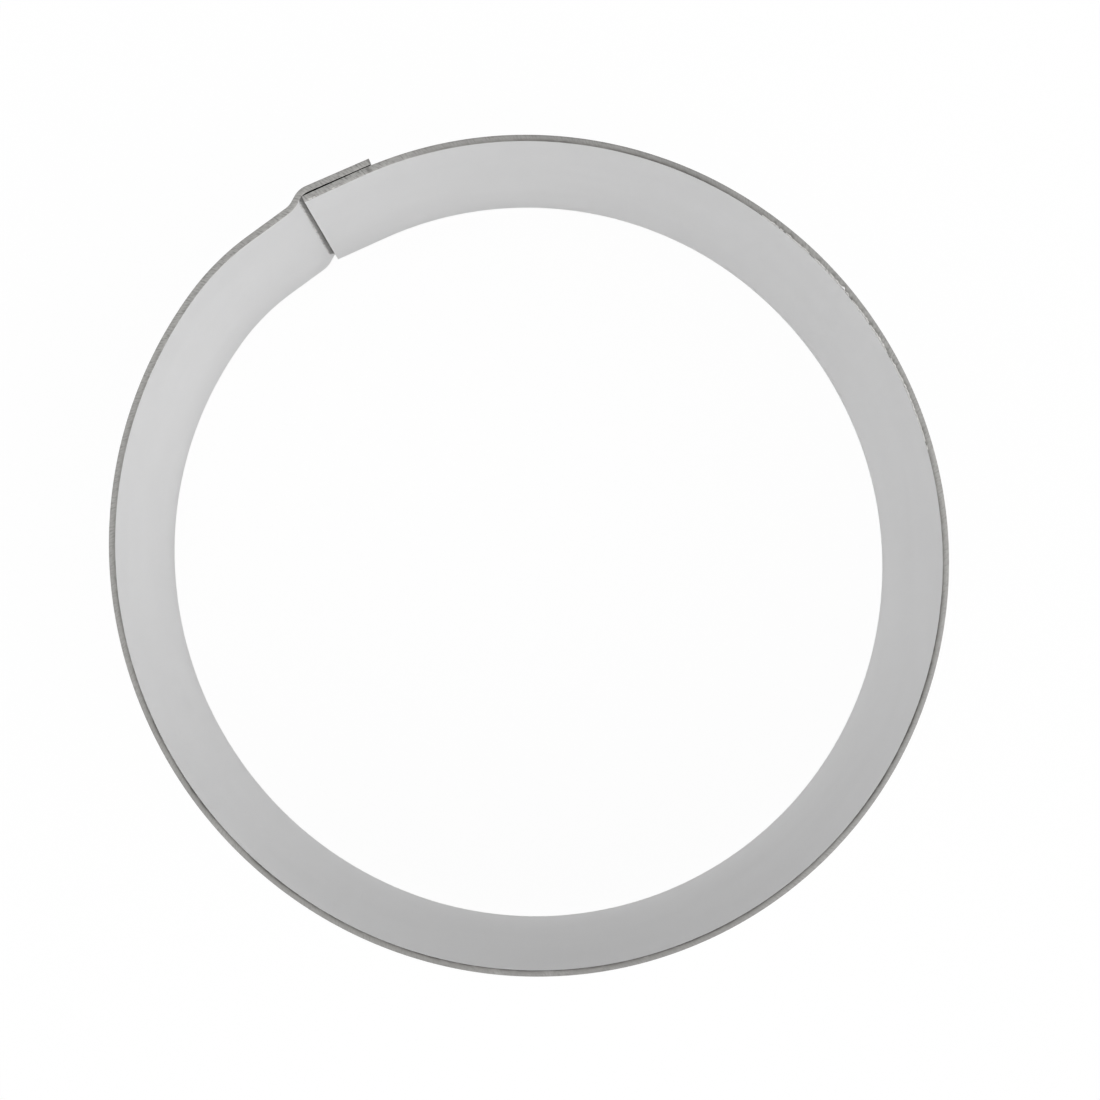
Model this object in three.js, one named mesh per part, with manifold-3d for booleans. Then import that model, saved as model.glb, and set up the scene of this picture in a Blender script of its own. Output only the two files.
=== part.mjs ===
// A mousse ring: one stainless strip rolled into a hoop that is open at top and bottom. One end of
// the strip is joggled outwards, so that it laps over the other end, and spot welds hold the lap.
// Millimetres, +Z up. The origin is the hoop's centre in the plane of its lower rim, and +Y points
// at the lap, where its flat stretch begins.
import * as THREE from "three";
import { mergeVertices } from "three/addons/utils/BufferGeometryUtils.js";
import Module from "manifold-3d";

// The strip
const INSIDE_DIAMETER = 80; // mean of the oval
const HEIGHT = 35; // from rim to rim
const SHEET = 0.6; // thickness
const EDGE_BREAK = 0.06; // chamfer that dulls the sheared rims

// The rolled hoop, which springs a little out of round
const OVALITY = 1.6; // inside length of the oval, less its inside width
const OVAL_TURN = 6.5; // degrees, the oval's long axis anticlockwise from the lap
const SPIRAL_RISE = 1.1; // how much farther out the hoop's curve ends than it starts

// The lap joint. Bend radii are those of the strip's middle line.
const FLAT_END = 5.89; // straight stretch of the inner end, up to its cut
const LAP_LENGTH = 7.29; // tail, measured from the inner end's cut
const ROOT_GAP = 0.17; // between the sheets at the inner end's cut
const TIP_GAP = 0.06; // between the sheets at the tail's cut
const SHOULDER_TURN = 28.5; // degrees before the lap at which the strip leaves the hoop's curve
const SHOULDER_BEND = 25;
const RAMP_SLOPE = 37; // degrees, joggle against the lap's flat
const FOOT_BEND = 2.2; // from the run-in up to the ramp
const CREST_BEND = 2; // from the ramp down to the tail
const CUT_CLEARANCE = 0.03; // between the inner end's outer corner and the crest round it

// The spot welds, in one upright row along the middle of the lap
const WELD_COUNT = 3;
const WELD_DIAMETER = 4;
const WELD_PENETRATION = 0.25; // depth of a nugget in each sheet
const WELD_EDGE_DISTANCE = 6.5; // from a rim to the centre of the nearest weld
const WELD_CLEARANCE = 0.02; // all round a nugget in its seat
const DENT_MARGIN = 0.6; // electrode dent, wider than the nugget on each side
const DENT_DEPTH = 0.07;

// Fineness of the curves
const HOOP_STEP = 3; // degrees
const BEND_STEPS = 6;
const WELD_SIDES = 24;
const WELD_RINGS = 8;

const steel = new THREE.MeshStandardMaterial({ color: 0xc6c6c5, roughness: 0.32, metalness: 1 });
const nuggetSteel = new THREE.MeshStandardMaterial({ color: 0x8e8c88, roughness: 0.6, metalness: 1 });

const wasm = await Module();
wasm.setup();

// A heading is an angle in plan, from +X towards +Y. The strip is followed clockwise, seen from
// above, so that the outside of the hoop is always on its left.
const ahead = (heading) => new THREE.Vector2(Math.cos(heading), Math.sin(heading));
const outward = (heading) => new THREE.Vector2(-Math.sin(heading), Math.cos(heading));

// The point at a distance from another, along a direction.
function along(from, direction, distance) {
  return from.clone().addScaledVector(direction, distance);
}

// Where two lines in plan meet, each given by a point and a heading.
function crossing(pointA, headingA, pointB, headingB) {
  const way = pointB.clone().sub(pointA);
  const distance = way.cross(ahead(headingB)) / ahead(headingA).cross(ahead(headingB));
  return along(pointA, ahead(headingA), distance);
}

// The strip's middle line on the hoop, at a turn clockwise from +Y: an oval on a slow spiral.
function hoopStation(turn) {
  const middle = (INSIDE_DIAMETER + SHEET) / 2;
  const fromLongAxis = turn + THREE.MathUtils.degToRad(OVAL_TURN);
  const oval = (OVALITY / 4) * Math.cos(2 * fromLongAxis);
  const radius = middle + oval - (SPIRAL_RISE / 2) * Math.cos(turn / 2);
  const growth = (-OVALITY / 2) * Math.sin(2 * fromLongAxis) + (SPIRAL_RISE / 4) * Math.sin(turn / 2);
  const spoke = new THREE.Vector2(Math.sin(turn), Math.cos(turn));
  const tangent = new THREE.Vector2(Math.cos(turn), -Math.sin(turn));
  const travel = tangent.multiplyScalar(radius).addScaledVector(spoke, growth);
  return { point: spoke.multiplyScalar(radius), heading: Math.atan2(travel.y, travel.x) };
}

// Stations of a bend that starts at a point and turns from one heading to another.
function bendFrom(start, headingIn, headingOut, radius) {
  const side = Math.sign(headingOut - headingIn);
  const centre = along(start, outward(headingIn), side * radius);
  const stations = [];
  for (let i = 0; i <= BEND_STEPS; i++) {
    const heading = THREE.MathUtils.lerp(headingIn, headingOut, i / BEND_STEPS);
    stations.push({ point: along(centre, outward(heading), -side * radius), heading });
  }
  return stations;
}

// How far a bend reaches from the sharp corner that it rounds.
const bendReach = (headingIn, headingOut, radius) => radius * Math.tan(Math.abs(headingOut - headingIn) / 2);

// Stations of a bend that rounds a sharp corner. On a short ramp the radius is limited so that
// the bend keeps to its own part of the ramp.
function bendAt(corner, headingIn, headingOut, radius, room) {
  const reach = Math.min(bendReach(headingIn, headingOut, radius), room);
  const fitted = reach / Math.tan(Math.abs(headingOut - headingIn) / 2);
  return bendFrom(along(corner, ahead(headingIn), -reach), headingIn, headingOut, fitted);
}

// The lap: its flat runs on straight from the start of the hoop, back to the cut of the inner end.
// The tail lies over it at a small slope, and the welds sit in the middle of the gap.
const lapHeading = hoopStation(0).heading;
const innerCut = along(hoopStation(0).point, ahead(lapHeading), -FLAT_END);
const tailHeading = lapHeading + Math.atan2(TIP_GAP - ROOT_GAP, LAP_LENGTH);
const tailRoot = along(innerCut, outward(lapHeading), SHEET + ROOT_GAP);
const tailTip = along(tailRoot, ahead(tailHeading), LAP_LENGTH);
const lapGap = (ROOT_GAP + TIP_GAP) / 2;
const lapMiddle = along(innerCut, ahead(lapHeading), LAP_LENGTH / 2);
const weldPlace = along(lapMiddle, outward(lapHeading), (SHEET + lapGap) / 2);

// The strip's middle line, from the cut of the inner end round to the tip of the tail.
function middleLine() {
  const stations = [{ point: innerCut, heading: lapHeading }];
  const hoopEnd = 2 * Math.PI - THREE.MathUtils.degToRad(SHOULDER_TURN);
  const hoopSteps = Math.ceil(THREE.MathUtils.radToDeg(hoopEnd) / HOOP_STEP);
  for (let i = 0; i < hoopSteps; i++) stations.push(hoopStation((hoopEnd * i) / hoopSteps));

  // The shoulder bends the strip inwards until its run-in points at the inner end's cut, so that
  // the two inside faces are flush at the seam.
  const shoulder = hoopStation(hoopEnd);
  const shoulderCentre = along(shoulder.point, outward(shoulder.heading), -SHOULDER_BEND);
  const toCut = innerCut.clone().sub(shoulderCentre);
  const runIn = Math.atan2(toCut.y, toCut.x) - Math.asin(SHOULDER_BEND / toCut.length());
  stations.push(...bendFrom(shoulder.point, shoulder.heading, runIn, SHOULDER_BEND));

  // The joggle: foot and crest are sharp corners of the run-in, ramp and tail, rounded by bends.
  // The crest lies where the inside of its bend clears the corner of the inner end.
  const ramp = lapHeading + THREE.MathUtils.degToRad(RAMP_SLOPE);
  const footReach = bendReach(runIn, ramp, FOOT_BEND);
  const crestReach = bendReach(ramp, tailHeading, CREST_BEND);
  const crestInside = CREST_BEND - SHEET / 2;
  const cornerReach = crestInside - Math.min(CUT_CLEARANCE, ROOT_GAP);
  const cornerSpan = Math.sqrt(cornerReach ** 2 - (crestInside - ROOT_GAP) ** 2);
  const crest = along(tailRoot, ahead(tailHeading), cornerSpan - crestReach);
  const foot = crossing(innerCut, runIn, crest, ramp);
  const fullestShare = 0.95; // of the ramp, for both bends together
  const footRoom = (fullestShare * crest.distanceTo(foot) * footReach) / (footReach + crestReach);
  const crestRoom = (fullestShare * crest.distanceTo(foot) * crestReach) / (footReach + crestReach);
  stations.push(...bendAt(foot, runIn, ramp, FOOT_BEND, footRoom));
  stations.push(...bendAt(crest, ramp, tailHeading, CREST_BEND, crestRoom));
  stations.push({ point: tailTip, heading: tailHeading });
  return stations;
}

// Plan outline of the strip: out along its outer face and back along its inner one.
function stripOutline() {
  const stations = middleLine();
  const outer = stations.map(({ point, heading }) => along(point, outward(heading), SHEET / 2));
  const inner = stations.map(({ point, heading }) => along(point, outward(heading), -SHEET / 2));
  return new THREE.Shape([...inner.reverse(), ...outer]);
}

// The strip standing on its lower rim, with both rims dulled.
function stripGeometry() {
  const geometry = new THREE.ExtrudeGeometry(stripOutline(), {
    depth: HEIGHT - 2 * EDGE_BREAK,
    bevelThickness: EDGE_BREAK,
    bevelSize: EDGE_BREAK,
    bevelOffset: -EDGE_BREAK,
    bevelSegments: 1,
  });
  return geometry.translate(0, 0, EDGE_BREAK);
}

// A lens-shaped body whose short axis is square to the lap.
function lens(diameter, thickness) {
  const ball = new THREE.SphereGeometry(diameter / 2, WELD_SIDES, WELD_RINGS);
  return ball.scale(1, thickness / diameter, 1);
}

function solidFrom(geometry) {
  const bare = geometry.clone();
  bare.deleteAttribute("normal");
  bare.deleteAttribute("uv");
  const merged = mergeVertices(bare, 1e-4);
  const mesh = new wasm.Mesh({
    numProp: 3,
    vertProperties: merged.attributes.position.array,
    triVerts: new Uint32Array(merged.index.array),
  });
  return new wasm.Manifold(mesh);
}

function geometryFrom(solid) {
  const mesh = solid.getMesh();
  const geometry = new THREE.BufferGeometry();
  geometry.setAttribute("position", new THREE.BufferAttribute(mesh.vertProperties, 3));
  geometry.setIndex(new THREE.BufferAttribute(mesh.triVerts, 1));
  geometry.computeVertexNormals();
  return geometry;
}

const weldThickness = lapGap + 2 * WELD_PENETRATION;
const weldPitch = (HEIGHT - 2 * WELD_EDGE_DISTANCE) / (WELD_COUNT - 1);
const weldHeights = Array.from({ length: WELD_COUNT }, (_, i) => WELD_EDGE_DISTANCE + i * weldPitch);

// The band: the strip with a seat for each nugget in the facing sheets, and the shallow dent that
// the electrode leaves outside.
function bandGeometry() {
  const dentDiameter = WELD_DIAMETER + 2 * DENT_MARGIN;
  const dentPlace = along(tailRoot, ahead(tailHeading), LAP_LENGTH / 2);
  dentPlace.addScaledVector(outward(tailHeading), SHEET / 2);
  let band = solidFrom(stripGeometry());
  for (const z of weldHeights) {
    const seat = lens(WELD_DIAMETER + 2 * WELD_CLEARANCE, weldThickness + 2 * WELD_CLEARANCE);
    const dent = lens(dentDiameter, 2 * DENT_DEPTH).rotateZ(tailHeading);
    band = band.subtract(solidFrom(seat.rotateZ(lapHeading).translate(weldPlace.x, weldPlace.y, z)));
    band = band.subtract(solidFrom(dent.translate(dentPlace.x, dentPlace.y, z)));
  }
  return geometryFrom(band);
}

const ring = new THREE.Group();

const band = new THREE.Mesh(bandGeometry(), steel);
band.name = "ring_band";
ring.add(band);

weldHeights.forEach((z, i) => {
  const weld = new THREE.Mesh(lens(WELD_DIAMETER, weldThickness), nuggetSteel);
  weld.name = `spot_weld_${i + 1}`;
  weld.position.set(weldPlace.x, weldPlace.y, z);
  weld.rotation.z = lapHeading;
  ring.add(weld);
});

export default ring;
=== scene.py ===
"""A mousse ring of rolled stainless strip with a joggled, spot-welded lap, dressed on its frame."""

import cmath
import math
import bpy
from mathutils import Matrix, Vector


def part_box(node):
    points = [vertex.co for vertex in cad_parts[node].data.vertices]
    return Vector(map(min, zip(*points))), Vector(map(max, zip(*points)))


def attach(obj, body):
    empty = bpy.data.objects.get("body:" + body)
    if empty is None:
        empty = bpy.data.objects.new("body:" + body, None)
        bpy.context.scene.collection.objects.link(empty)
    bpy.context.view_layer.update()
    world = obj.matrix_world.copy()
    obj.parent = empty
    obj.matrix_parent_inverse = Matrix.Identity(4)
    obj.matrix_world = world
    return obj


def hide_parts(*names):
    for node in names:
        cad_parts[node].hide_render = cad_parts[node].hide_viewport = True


bl_info = {
    "name": "Mousse Ring",
    "version": (1, 0, 0),
    "blender": (4, 5, 0),
    "location": "View3D > Sidebar > Mousse Ring",
    "description": "Builds a rolled and lapped stainless pastry ring, its spot welds and its studio",
    "category": "Add Mesh",
}

import bpy
import numpy as np
from bpy.props import FloatProperty, FloatVectorProperty, PointerProperty
from mathutils import Vector, noise

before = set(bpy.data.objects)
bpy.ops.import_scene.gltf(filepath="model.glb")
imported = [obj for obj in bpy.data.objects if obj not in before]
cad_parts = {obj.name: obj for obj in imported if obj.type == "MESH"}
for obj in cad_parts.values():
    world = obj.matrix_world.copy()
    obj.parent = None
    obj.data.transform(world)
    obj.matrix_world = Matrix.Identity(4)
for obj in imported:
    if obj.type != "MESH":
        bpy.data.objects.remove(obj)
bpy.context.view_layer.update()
BAND_NODE = "ring_band"
WELD_NODES = sorted(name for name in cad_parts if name.startswith("spot_weld_"))
BAND_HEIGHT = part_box(BAND_NODE)[1].z

MM = 0.001  # the frame is in metres, and sizes are written in millimetres


def length(name, millimetres, description):
    """A length property."""
    return FloatProperty(
        name=name, description=description, default=millimetres * MM, unit="LENGTH", precision=5
    )


def angle(name, degrees, description):
    """An angle property."""
    return FloatProperty(
        name=name, description=description, default=math.radians(degrees), subtype="ANGLE"
    )


def share(name, value, description):
    """A property from 0 to 1."""
    return FloatProperty(
        name=name, description=description, default=value, min=0, max=1, subtype="FACTOR"
    )


def number(name, value, description, unit="NONE"):
    """A property that is a plain number."""
    return FloatProperty(name=name, description=description, default=value, unit=unit)


def colour(name, rgb, description):
    """A linear colour property."""
    return FloatVectorProperty(
        name=name, description=description, default=rgb, min=0, max=1, size=3, subtype="COLOR"
    )


class StripSizes(bpy.types.PropertyGroup):
    """Sizes of the rolled strip and its lap, as the frame was built"""

    inside_diameter: length("Inside diameter", 80, "Mean of the oval")
    sheet: length("Sheet", 0.6, "Thickness of the strip")
    ovality: length("Ovality", 1.6, "Inside length of the oval, less its inside width")
    oval_turn: angle("Oval turn", 6.5, "The oval's long axis, anticlockwise from the lap")
    spiral_rise: length("Spiral rise", 1.1, "How much farther out the hoop ends than it starts")
    flat_end: length("Flat end", 5.89, "Straight stretch of the inner end, up to its cut")
    lap_length: length("Lap length", 7.29, "Tail, measured from the inner end's cut")
    root_gap: length("Root gap", 0.17, "Between the sheets at the inner end's cut")
    tip_gap: length("Tip gap", 0.06, "Between the sheets at the tail's cut")
    shoulder_turn: angle("Shoulder turn", 28.5, "Before the lap, where the hoop's curve ends")
    shoulder_bend: length("Shoulder bend", 25, "Radius of the middle line at the shoulder")
    ramp_slope: angle("Ramp slope", 37, "Joggle against the lap's flat")
    foot_bend: length("Foot bend", 2.2, "Radius from the run-in up to the ramp")
    crest_bend: length("Crest bend", 2, "Radius from the ramp down to the tail")
    cut_clearance: length("Cut clearance", 0.03, "Inner end's outer corner to the crest round it")


class EdgeSizes(bpy.types.PropertyGroup):
    """Sizes of the sheared edges, the wear on them and the marks of the welding electrode"""

    rollover: length("Rollover", 0.07, "Rounding of the inside edges, drawn in by the shear")
    outer_round: length("Outer rounding", 0.045, "Rounding of the outside edges")
    end_round: length("End rounding", 0.02, "Rounding round the two upright cuts")
    raggedness: length("Raggedness", 0.1, "How far worn stretches of the inside edge are chipped")
    burr: length("Burr", 0.07, "How far torn metal hangs in over the wall in those stretches")
    crown: length("Crown", 0.012, "How far the middle of a rim stands over its edges")
    worn_round: length("Worn rounding", 0.035, "How much rounder the worn inside edge is")
    bared: length("Bared", 0.105, "Rounding from which the inside edge shows bare steel")
    bright: length("Bright", 0.25, "Rounding from which a nick is as bright as the wall")
    lap_edge: length("Lap edge", 0.018, "Rounding of the edges that face each other in the lap")
    unevenness: length("Unevenness", 0.012, "How far the sheared rims stray from flat")
    waviness: length("Waviness", 0.05, "How far the rolled wall strays from its curve")
    lap_lean: length("Lap lean", 0.1, "How far the foot of the lap stands in from its rim")
    seam_lean: length("Seam lean", 0.16, "How far the foot of the seam stands on from its head")
    dent_diameter: length("Dent diameter", 5.2, "Mark of the electrode outside each weld")
    dent_depth: length("Dent depth", 0.07, "Depth of that mark")


class SteelFinish(bpy.types.PropertyGroup):
    """Colours and gloss of the steel"""

    wall: colour("Wall", (0.68, 0.68, 0.683), "Satin face of the strip")
    wall_roughness: share("Wall roughness", 0.1, "Blur of the satin face")
    burnished: colour("Burnished edge", (0.316, 0.313, 0.305), "Outer part of the rims' cut")
    # The torn colour is also laid as painted shade: on the outer part of the upright cuts and on the
    # rim
    torn: colour("Torn edge", (0.23, 0.225, 0.216), "Inner part of the cut, where the sheet broke")
    rubbed: colour("Rubbed edge", (0.42, 0.415, 0.402), "Cut edge that is rubbed smooth")
    break_line: colour("Break line", (0.11, 0.106, 0.1), "Dark line where the break began")
    bared: colour("Bared edge", (0.72, 0.71, 0.69), "Inside edge, worn round or chipped")
    land: colour("Burnished land", (0.95, 0.945, 0.93), "Innermost part of the two upright cuts")
    cut: colour("Upright cut", (0.82, 0.81, 0.79), "The part of those cuts next to it")
    straw: colour("Straw tint", (0.98, 0.955, 0.9), "Faint heat tint round an electrode mark")
    blue: colour("Blue tint", (0.92, 0.93, 0.95), "Heat tint inside that")
    pressed: colour("Pressed tint", (0.92, 0.92, 0.912), "Dull bottom of an electrode mark")
    nugget: colour("Nugget", (0.30, 0.29, 0.28), "Fused steel between the sheets")


class StudioSettings(bpy.types.PropertyGroup):
    """Floor, light and camera"""

    floor: colour("Floor", (0.86, 0.86, 0.86), "Colour of the floor")
    floor_depth: length("Floor depth", 12, "How far light spreads inside the floor")
    floor_glow: share("Floor glow", 0.965, "White share of the floor, to the camera")
    mirrored_glow: share("Mirrored glow", 0.23, "White share of the floor and studio, in the steel")
    backdrop_glow: share("Backdrop glow", 0.8, "White share of the studio at eye level, likewise")
    backdrop_rise: share("Backdrop rise", 0.3, "Share of the way up over which that fades")
    zenith: number("Zenith", 0.17, "Brightness overhead")
    horizon: number("Horizon", 0.32, "Brightness at eye level")
    core_width: angle("Core width", 40, "Evenly bright middle of the two soft lights")
    light_width: angle("Light width", 120, "Whole spread of those lights")
    light_rise: share("Light rise", 0.4, "Share of the way up over which they fade in")
    left_light: number("Left light", 1.2, "Strength of the left light")
    left_turn: angle("Left turn", 170, "Its direction in plan, from +X towards +Y")
    left_height: angle("Left height", 40, "Its height over the floor")
    right_light: number("Right light", 2.0, "Strength of the right light")
    right_turn: angle("Right turn", 312, "Its direction in plan, from +X towards +Y")
    right_height: angle("Right height", 38, "Its height over the floor")
    camera_x: length("Camera X", -2.443, "Camera's place over the ring")
    camera_y: length("Camera Y", -3.513, "Camera's place over the ring")
    camera_z: length("Camera Z", 240.4, "Camera's height over the floor")
    camera_turn: angle("Camera turn", -24.6, "Turn of the picture about the upright")
    lens: number("Lens", 69.785, "Focal length", "CAMERA")
    shift_x: number("Shift X", 0.02265, "Framing of the picture")
    shift_y: number("Shift Y", 0.0419, "Framing of the picture")


# Plan geometry. A point in plan is a complex number, x + yj, and a heading is an angle from +X
# towards +Y. A turn is an angle round the hoop, clockwise from +Y. The strip is followed clockwise,
# seen from above, so the outside is always on its left.

HOOP_STEP = 0.42 * MM  # between the mesh's stations on the plain hoop
WORN_STEP = 0.08 * MM  # where the hoop's edge is worn
BEND_STEP = 0.12 * MM  # in the lap and the joggle
WORN_STRETCH = (math.radians(60), math.radians(97))  # turns between which the edge is worn
WORN_LAP = math.radians(7)  # turn up to which the stations next to the lap are as close


def ahead(heading):
    """Unit step along a heading."""
    return cmath.rect(1, heading)


def outward(heading):
    """Unit step to the left of a heading, out of the hoop."""
    return 1j * cmath.rect(1, heading)


def hoop_station(sizes, turn):
    """Point and heading of the strip's middle line at a turn: an oval on a slow spiral."""
    middle = (sizes.inside_diameter + sizes.sheet) / 2
    from_long_axis = turn + sizes.oval_turn
    oval = sizes.ovality / 4 * math.cos(2 * from_long_axis)
    radius = middle + oval - sizes.spiral_rise / 2 * math.cos(turn / 2)
    growth = -sizes.ovality / 2 * math.sin(2 * from_long_axis)
    growth += sizes.spiral_rise / 4 * math.sin(turn / 2)
    spoke = complex(math.sin(turn), math.cos(turn))
    tangent = complex(math.cos(turn), -math.sin(turn))
    return radius * spoke, cmath.phase(radius * tangent + growth * spoke)


def straight(start, end, step):
    """Stations of a straight stretch, without its last."""
    count = max(1, math.ceil(abs(end - start) / step))
    heading = cmath.phase(end - start)
    return [(start + (end - start) * i / count, heading) for i in range(count)]


def bend(start, heading_in, heading_out, radius, step):
    """Stations of a bend, with its last."""
    side = math.copysign(1, heading_out - heading_in)
    centre = start + side * radius * outward(heading_in)
    count = max(2, math.ceil(abs(heading_out - heading_in) * radius / step))
    headings = [heading_in + (heading_out - heading_in) * i / count for i in range(count + 1)]
    return [(centre - side * radius * outward(h), h) for h in headings]


def crossing(point_a, heading_a, point_b, heading_b):
    """Where two lines in plan meet."""
    way = (point_b - point_a) * ahead(heading_b).conjugate()
    across = (ahead(heading_a) * ahead(heading_b).conjugate()).imag
    return point_a + ahead(heading_a) * way.imag / across


def bend_reach(heading_in, heading_out, radius):
    """How far a bend reaches from the sharp corner that it rounds."""
    return radius * math.tan(abs(heading_out - heading_in) / 2)


def hoop_path(sizes, hoop_end):
    """Stations of the hoop up to a turn, closer where its edge is worn."""
    stretches = (
        (WORN_LAP, WORN_STEP),
        (WORN_STRETCH[0], HOOP_STEP),
        (WORN_STRETCH[1], WORN_STEP),
        (hoop_end, HOOP_STEP),
    )
    stations = []
    start = 0
    for end, step in stretches:
        count = math.ceil((end - start) * sizes.inside_diameter / 2 / step)
        stations += [hoop_station(sizes, start + (end - start) * i / count) for i in range(count)]
        start = end
    return stations


def lap_places(sizes):
    """Cut of the inner end, heading of the lap, and root, tip and heading of the tail."""
    start, heading = hoop_station(sizes, 0)
    inner_cut = start - sizes.flat_end * ahead(heading)
    tail_heading = heading + math.atan2(sizes.tip_gap - sizes.root_gap, sizes.lap_length)
    tail_root = inner_cut + (sizes.sheet + sizes.root_gap) * outward(heading)
    tail_tip = tail_root + sizes.lap_length * ahead(tail_heading)
    return inner_cut, heading, tail_root, tail_tip, tail_heading


def strip_path(sizes):
    """Stations of the strip's middle line, from the inner end's cut round to the tail's tip."""
    inner_cut, lap_heading, tail_root, tail_tip, tail_heading = lap_places(sizes)
    hoop_end = 2 * math.pi - sizes.shoulder_turn
    stations = straight(inner_cut, hoop_station(sizes, 0)[0], BEND_STEP)
    stations += hoop_path(sizes, hoop_end)

    shoulder, shoulder_heading = hoop_station(sizes, hoop_end)
    to_cut = inner_cut - (shoulder - sizes.shoulder_bend * outward(shoulder_heading))
    run_in = cmath.phase(to_cut) - math.asin(sizes.shoulder_bend / abs(to_cut))
    shoulder_bend = bend(shoulder, shoulder_heading, run_in, sizes.shoulder_bend, HOOP_STEP)

    ramp = lap_heading + sizes.ramp_slope
    crest_reach = bend_reach(ramp, tail_heading, sizes.crest_bend)
    crest_inside = sizes.crest_bend - sizes.sheet / 2
    corner_reach = crest_inside - min(sizes.cut_clearance, sizes.root_gap)
    corner_span = math.sqrt(corner_reach**2 - (crest_inside - sizes.root_gap) ** 2)
    crest = tail_root + (corner_span - crest_reach) * ahead(tail_heading)
    foot = crossing(inner_cut, run_in, crest, ramp)
    foot_start = foot - bend_reach(run_in, ramp, sizes.foot_bend) * ahead(run_in)
    foot_bend = bend(foot_start, run_in, ramp, sizes.foot_bend, BEND_STEP)
    crest_start = crest - crest_reach * ahead(ramp)
    crest_bend = bend(crest_start, ramp, tail_heading, sizes.crest_bend, BEND_STEP)

    ends = (foot_start, crest_start, tail_tip)
    for bent, straight_end in zip((shoulder_bend, foot_bend, crest_bend), ends):
        stations += bent[:-1] + straight(bent[-1][0], straight_end, BEND_STEP)
    return stations + [(tail_tip, tail_heading)]


END_STEPS = 4  # steps of the rounding at each cut


def with_round_ends(stations, radius):
    """Points, headings and insets of the stations, with close ones that round off both cuts."""
    (first, first_heading), (last, last_heading) = stations[0], stations[-1]
    turns = [math.pi / 2 * i / END_STEPS for i in range(END_STEPS + 1)]
    steps = [(radius * (1 - math.cos(a)), radius * (1 - math.sin(a))) for a in turns]
    start = [(first + d * ahead(first_heading), first_heading, inset) for d, inset in steps]
    end = [(last - d * ahead(last_heading), last_heading, inset) for d, inset in reversed(steps)]
    rows = start + [(p, h, 0.0) for p, h in stations[1:-1]] + end
    points, headings, insets = zip(*rows)
    return np.array(points), np.array(headings), np.array(insets)


# Cross-section of the strip

WALL_STEP = 2.4 * MM  # between the wall's rows away from the welds
DENT_STEP = 0.87 * MM  # between the wall's rows at the welds
WALL_MARGIN = 0.45 * MM  # from the rims to the wall's first rows
ROLL_STEPS = 5  # of the inside edge's rounding
FLAT_STEPS = 5  # of the rim between its edges
OUTER_STEPS = 3  # of the outside edge's rounding
ROLL_TURNS = np.linspace(0, math.pi / 2, ROLL_STEPS + 1)
FLAT_SHARES = np.linspace(0, 1, FLAT_STEPS + 1)[1:-1]
OUTER_TURNS = np.linspace(0, math.pi / 2, OUTER_STEPS + 1)


def weld_heights():
    """Heights of the welds, from the frame."""
    return [(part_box(n)[0].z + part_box(n)[1].z) / 2 for n in WELD_NODES]


def wall_levels(edges):
    """Heights of the wall's rows, closer at the electrode marks."""
    low, high = WALL_MARGIN, BAND_HEIGHT - WALL_MARGIN
    reach = edges.dent_diameter / 2 + DENT_STEP
    levels = [low]
    while levels[-1] < high:
        near = any(abs(levels[-1] + DENT_STEP - z) < reach for z in weld_heights())
        levels.append(levels[-1] + (DENT_STEP if near else WALL_STEP))
    scale = (high - low) / (levels[-1] - low)
    return np.array([low + (z - low) * scale for z in levels])


def rim_section(sizes, edges, roll, burr, outer):
    """Rows over a rim at each station, from inside to outside: places across and depths.

    At each station roll is the rounding of the inside edge, burr how far that edge hangs in over
    the wall, and outer the rounding of the outside edge. Depths are below the crown.
    """
    half = sizes.sheet / 2
    roll, burr, outer = roll[:, None], burr[:, None], outer[:, None]
    first, last = roll - half, half - outer
    rolled = first - roll * np.cos(ROLL_TURNS) - burr * np.sin(2 * ROLL_TURNS)
    flat = first + (last - first) * FLAT_SHARES
    across = np.hstack([rolled, flat, last + outer * np.sin(OUTER_TURNS)])
    roll_depth = roll * (1 - np.sin(ROLL_TURNS))
    outer_depth = outer * (1 - np.cos(OUTER_TURNS))
    depth = np.hstack([roll_depth, np.zeros_like(flat), outer_depth])
    return across, depth + edges.crown * np.minimum((across / half) ** 2, 1)


def rim_directions():
    """Outward directions of the rim's rows: across and up."""
    flat = np.ones_like(FLAT_SHARES)
    across = np.concatenate([-np.cos(ROLL_TURNS), 0 * flat, np.sin(OUTER_TURNS)])
    return across, np.concatenate([np.sin(ROLL_TURNS), flat, np.cos(OUTER_TURNS)])


# Wear and marks along the strip. Travel is the way along its middle line from the inner end's cut.

NOISE_SEED = Vector((31.7, 12.3, 4.1))

# Noises: the length of their features, and the row of the noise field that they are read from
LONG_WAVES = (17 * MM, 1.0)
SLOW_WAVES = (9 * MM, 7.0)
UPPER_DRIFT = (2.5 * MM, 11.0)
FINE_CHIPS = (0.3 * MM, 14.0)
COARSE_CHIPS = (1.3 * MM, 16.0)
BURR_TEETH = (0.2 * MM, 20.0)
BREAK_DRIFT = (6 * MM, 21.0)
BREAK_RAGS = (0.35 * MM, 22.0)
LOWER_DRIFT = (2.5 * MM, 47.0)
RIM_DIPS = (0.45 * MM, 90)
DIP_ROW_STEP = 0.35  # in the noise field, from one row of a rim to the next

# Places on the upper rim: a turn in degrees and a half width, and for a nick its depth
NICKS = (
    (74.1, 0.22 * MM, 0.2 * MM),
    (69.2, 0.3 * MM, 0.12 * MM),
    (79.5, 0.18 * MM, 0.1 * MM),
    (90.6, 0.25 * MM, 0.1 * MM),
)
RUBS = ((202.5, 0.3 * MM), (209.5, 0.4 * MM))  # rubbed smooth
RUB_STRENGTH = 0.5  # how far the break line is rubbed away there, and the painted rim shade weakened
DARK_SPOTS = ((1.3, 0.22 * MM),)  # dark, on the inner sheet of the lap
TIP_PAINTED_SHADE = 0.15 * MM  # length of the painted shade on the rim at the tail's tip


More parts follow.
